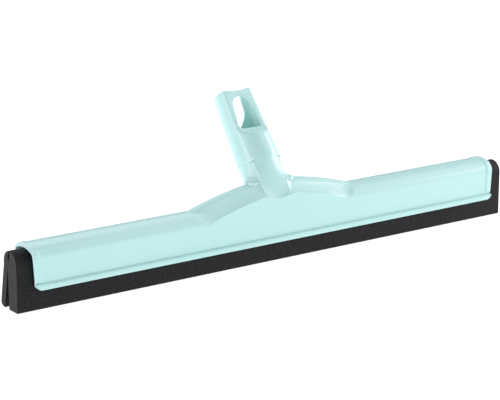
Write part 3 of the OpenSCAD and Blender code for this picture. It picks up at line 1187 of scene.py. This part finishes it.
def add_mouth(bm, cut):
    rows = []
    out_gap, in_gap = slot_edge(outer_wall, OUTER_EASE), slot_edge(inner_wall, INNER_EASE)
    for t, along in RIM_PROFILE:
        outer = rim_chain(outer_radius(along), outer_wall, OUTER_WIDE, out_gap, along)
        inner = rim_chain(BORE_R, inner_wall, INNER_WIDE, in_gap, along)
        rows.append(dipped([mix(p, q, t) for p, q in zip(outer, inner)], MOUTH_DIP))
    add_sheet(bm, rows)
    for end in (0, -1):
        add_sheet(bm, [[row[end] for row in rows], [row[end] for row in cut]])
    floor = ring(lambda a: BORE_R, inner_wall, INNER_WIDE, lambda share: BORE_AT)
    centre = on_neck(0, 0, BORE_AT)
    add_sheet(bm, [[mix(p, centre, t) for p in floor] for t in (0, 0.5, 0.97)], closed=True)


# %% [markdown]
# All parts of the tube are put together. It doesn't move against the head, so it rides on the head's body
# too.

# %% Build the socket
def build_socket():
    bm = bmesh.new()
    beside = spread(WINDOW_LOW, WINDOW_HIGH, AROUND)[1:]
    rows = spread(WALL_LOW, WINDOW_LOW, 8) + beside + HIGH_ROWS
    add_wall(bm, outer_wall, outer_radius, OUTER_WIDE, rows)
    inner_rows = [BORE_AT, 34.0, WINDOW_LOW] + beside + [RIM_START]
    add_wall(bm, inner_wall, lambda a: BORE_R, INNER_WIDE, inner_rows)
    for back in (False, True):
        out_edge = add_frame(bm, outer_wall, OUTER_WIDE[back], back, OUTER_EASE)
        in_edge = add_frame(bm, inner_wall, INNER_WIDE[back], back, INNER_EASE)
        cut = add_window_wall(bm, out_edge, in_edge, back)
    add_foot(bm)
    add_mouth(bm, cut)
    return finish_mesh("socket_tube", bm, [MINT])


socket = build_socket()
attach(socket, "head")
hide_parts("handle_socket")

# %% [markdown]
# The strip has a round top, a small hole through its length, and two lips: a thick upright one in front
# and a thin one that splays to the rear. The lips bend apart, and one mesh would tear between them, so
# two halves meet on a slit plane.

# %% Strip sizes and slit
SLIT_LOW, HOLE, DOME = (2.1, 30.5), (0.9, 37.3), (-0.28, 43.95)
HOLE_R = 1.4
SLIT_GAP = 0.07
DOME_AT, DOME_R = (-1.25, 34.95), 9.05
FRONT_Y, BACK_Y = -10.3, 7.8
LIP_Y = 1.8  # inner side of the front lip at its tip
TURN = 33.0  # the back lip leaves the body here
SPLAY = math.radians(11)
THICK = 6  # of the back lip


def arc(centre, r, a0, a1, n):
    return [
        (centre[0] + r * math.cos(math.radians(a)), centre[1] + r * math.sin(math.radians(a)))
        for a in spread(a0, a1, n)
    ]


def slit_line(sign):
    """From the dome's top down to the wedge's tip, round its side of the hole."""
    tilt = math.degrees(math.atan2(DOME[1] - HOLE[1], DOME[0] - HOLE[0]))
    hole = arc(HOLE, HOLE_R, tilt, tilt - sign * 180, 12)
    low = (SLIT_LOW[0] + sign * SLIT_GAP, SLIT_LOW[1])
    return [DOME] + hole + [low]


# %% [markdown]
# Each half is walked round once as a line of points. The front lip stands upright. The back lip splays,
# so its corner is built on the lip's own two directions.

# %% Strip halves
DOME_TOP = math.degrees(math.atan2(DOME[1] - DOME_AT[1], DOME[0] - DOME_AT[0]))


def front_half():
    toe, heel = 0.5, 1.4
    pts = arc((FRONT_Y + toe, toe), toe, 270, 180, 3)
    pts += [(FRONT_Y, z) for z in (3, 6, 8, 10, 12, 14, 16, 18, 20, 25, 30)]
    pts += arc(DOME_AT, DOME_R, 180, DOME_TOP, 16)
    pts += slit_line(-1)[1:]
    for z in (25, 20, 18, 16, 14, 12, 10, 8, 6, 3):
        pts.append((lerp(SLIT_LOW[0], LIP_Y, (SLIT_LOW[1] - z) / SLIT_LOW[1]), z))
    pts += arc((LIP_Y - heel, heel), heel, 0, -90, 5)
    return pts


def back_half():
    thick = THICK / math.cos(SPLAY)

    def outer(z):
        return BACK_Y + max(0, TURN - z) * math.tan(SPLAY)

    heights = (25, 20, 18, 16, 14, 12, 10, 8, 6, 4)
    inner_tip = Vector((outer(0) - thick, 0.0))
    way = Vector((math.cos(SPLAY), math.sin(SPLAY)))
    up = Vector((-way.y, way.x))
    outer_tip = inner_tip + way * THICK
    r = 3.4
    centre = outer_tip - way * r + up * r
    pts = [(outer(z) - thick, z) for z in heights[::-1]]
    pts += slit_line(1)[::-1]
    pts += arc(DOME_AT, DOME_R, DOME_TOP, 0, 16)[1:]
    pts += [(BACK_Y, TURN)] + [(outer(z), z) for z in (30,) + heights[:-1]]
    corner = [centre + (way * math.cos(a) + up * math.sin(a)) * r for a in spread(0, -math.pi / 2, 6)]
    ease = [mix(corner[-1], inner_tip, 0.5), inner_tip + way * 0.5, inner_tip + up * 0.5]
    return pts + [tuple(p) for p in corner + ease]


print("Outlines:", len(front_half()), "and", len(back_half()), "points")

# %% [markdown]
# Each outline is extruded along x, its first and last row drawn in a little, and the flat ends get the
# cut material.

# %% Build the strip
SAWN_IN, SAWN_LONG = 0.12, 0.15  # how far a sawn edge is drawn in, and over which length


def inset(points, amount):
    out = []
    count = len(points)
    for i, p in enumerate(points):
        before, after = Vector(points[i - 1]), Vector(points[(i + 1) % count])
        way = (after - before).normalized()
        out.append((p[0] + way.y * amount, p[1] - way.x * amount))
    return out


def above_hole(p):
    """True from the dome's top to the hole, where the rubber isn't cut."""
    return math.dist(p, DOME) + math.dist(p, HOLE) - math.dist(DOME, HOLE) < 1e-6


def build_strip_half(name, points):
    bm = bmesh.new()
    area = sum(p[0] * q[1] - q[0] * p[1] for p, q in zip(points, points[1:] + points[:1]))
    sign = -1 if area > 0 else 1
    inner = [p if above_hole(p) else q for p, q in zip(points, inset(points, SAWN_IN * sign))]
    xs = spread(SAWN_LONG - STRIP_HALF, STRIP_HALF - SAWN_LONG, 24)
    rows = [[(-STRIP_HALF, y, z) for y, z in inner]]
    rows += [[(x, y, z) for y, z in points] for x in xs]
    rows += [[(STRIP_HALF, y, z) for y, z in inner]]
    made = add_sheet(bm, rows, closed=True)
    for row in (made[0], made[-1]):
        face = bmesh.ops.contextual_create(bm, geom=row)["faces"][0]
        face.material_index = 1
    return finish_mesh(name, bm, [SKIN, CUT], sharp=30.0)


front_strip = build_strip_half("front_rubber", front_half())
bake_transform(front_strip)
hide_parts("blade_root", "front_lip")

back_strip = build_strip_half("back_rubber", back_half())
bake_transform(back_strip)
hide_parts("blade_root", "back_lip")

# %% [markdown]
# The photograph is cut out on pure white, and a plain white floor turns grey where little light falls. So
# this one also glows, enough to burn out and still take a faint shadow. The surround is dim.

# %% Floor and world
def make_floor():
    material, nodes, links, shader = new_material("floor_white")
    coords = nodes.new("ShaderNodeTexCoord").outputs["Object"]
    patches = nodes.new("ShaderNodeValue").outputs["Value"]
    patches.default_value = 3.0
    noise = noise_on(nodes, links, coords, patches)
    pale = tint(nodes, links, noise, (0.48, 0.48, 0.48), (0.52, 0.52, 0.52))
    links.new(pale, shader.inputs["Base Color"])
    set_inputs(shader, {"Roughness": 0.9, "Emission Color": (1, 1, 1, 1), "Emission Strength": 0.84})
    bm = bmesh.new()
    bmesh.ops.create_grid(bm, x_segments=1, y_segments=1, size=6.0)
    mesh = bpy.data.meshes.new("floor")
    bm.to_mesh(mesh)
    bm.free()
    mesh.materials.append(material)
    obj = new_object("floor", mesh)
    obj.location.z = -0.3 * MM
    return obj


make_floor()

world = bpy.data.worlds.new("studio")
world.use_nodes = True
surround = world.node_tree.nodes["Background"]
set_inputs(surround, {"Color": (0.9, 1, 1, 1), "Strength": 0.33})
bpy.context.scene.world = world
bpy.context.scene.view_settings.view_transform = "Standard"
print("Surround:", world.name)

# %% [markdown]
# Large soft lights show in glossy plastic as broad bands, where small ones give hard spots. Two stand low
# at the sides, one hangs over the rear and one stands high at the right. They are slightly pink, against
# the green that the head throws back.

# %% Lights
def aim(obj, place_at, look_at):
    obj.location = place_at
    obj.rotation_mode = "QUATERNION"
    obj.rotation_quaternion = (look_at - place_at).to_track_quat("-Z", "Y")


def add_light(name, place_at, look_at, size, power, colour):
    data = bpy.data.lights.new(name, "AREA")
    data.shape = "RECTANGLE"
    data.size, data.size_y = size
    data.energy = power
    data.color = colour
    aim(new_object(name, data), Vector(place_at), Vector(look_at))


add_light("left_soft", (-1.5, -0.15, 0.45), (0, 0, 0.05), (1.0, 0.8), 13, (1.0, 0.74, 0.86))
add_light("right_soft", (1.4, -0.42, 0.42), (0.1, 0, 0.05), (1.2, 1.0), 20, (1.0, 0.78, 0.86))
add_light("top_soft", (0.0, 1.2, 1.4), (0, 0, 0), (2.4, 1.4), 14, (1.0, 0.92, 0.98))
add_light("right_high", (1.5, -0.3, 1.3), (0.08, 0, 0.05), (2.0, 1.8), 13, (1.0, 0.90, 0.95))

# %% [markdown]
# The camera looks from the left front, a little from above, through a long lens. Its place was fitted to
# the long edges in the photograph, so that the render can be laid over it.

# %% Camera
def make_camera():
    azimuth, elevation, distance = math.radians(-35.204), math.radians(15.5), 1.5229
    target = Vector((-0.0184, 0.0, 0.0478))
    back = Vector((
        math.sin(azimuth) * math.cos(elevation),
        -math.cos(azimuth) * math.cos(elevation),
        math.sin(elevation),
    ))
    data = bpy.data.cameras.new("camera")
    data.sensor_width = 36.0
    data.lens = 145.13
    obj = new_object("camera", data)
    aim(obj, target + back * distance, target)
    return obj


bpy.context.scene.camera = make_camera()
print("Lens:", round(bpy.context.scene.camera.data.lens, 1), "mm")
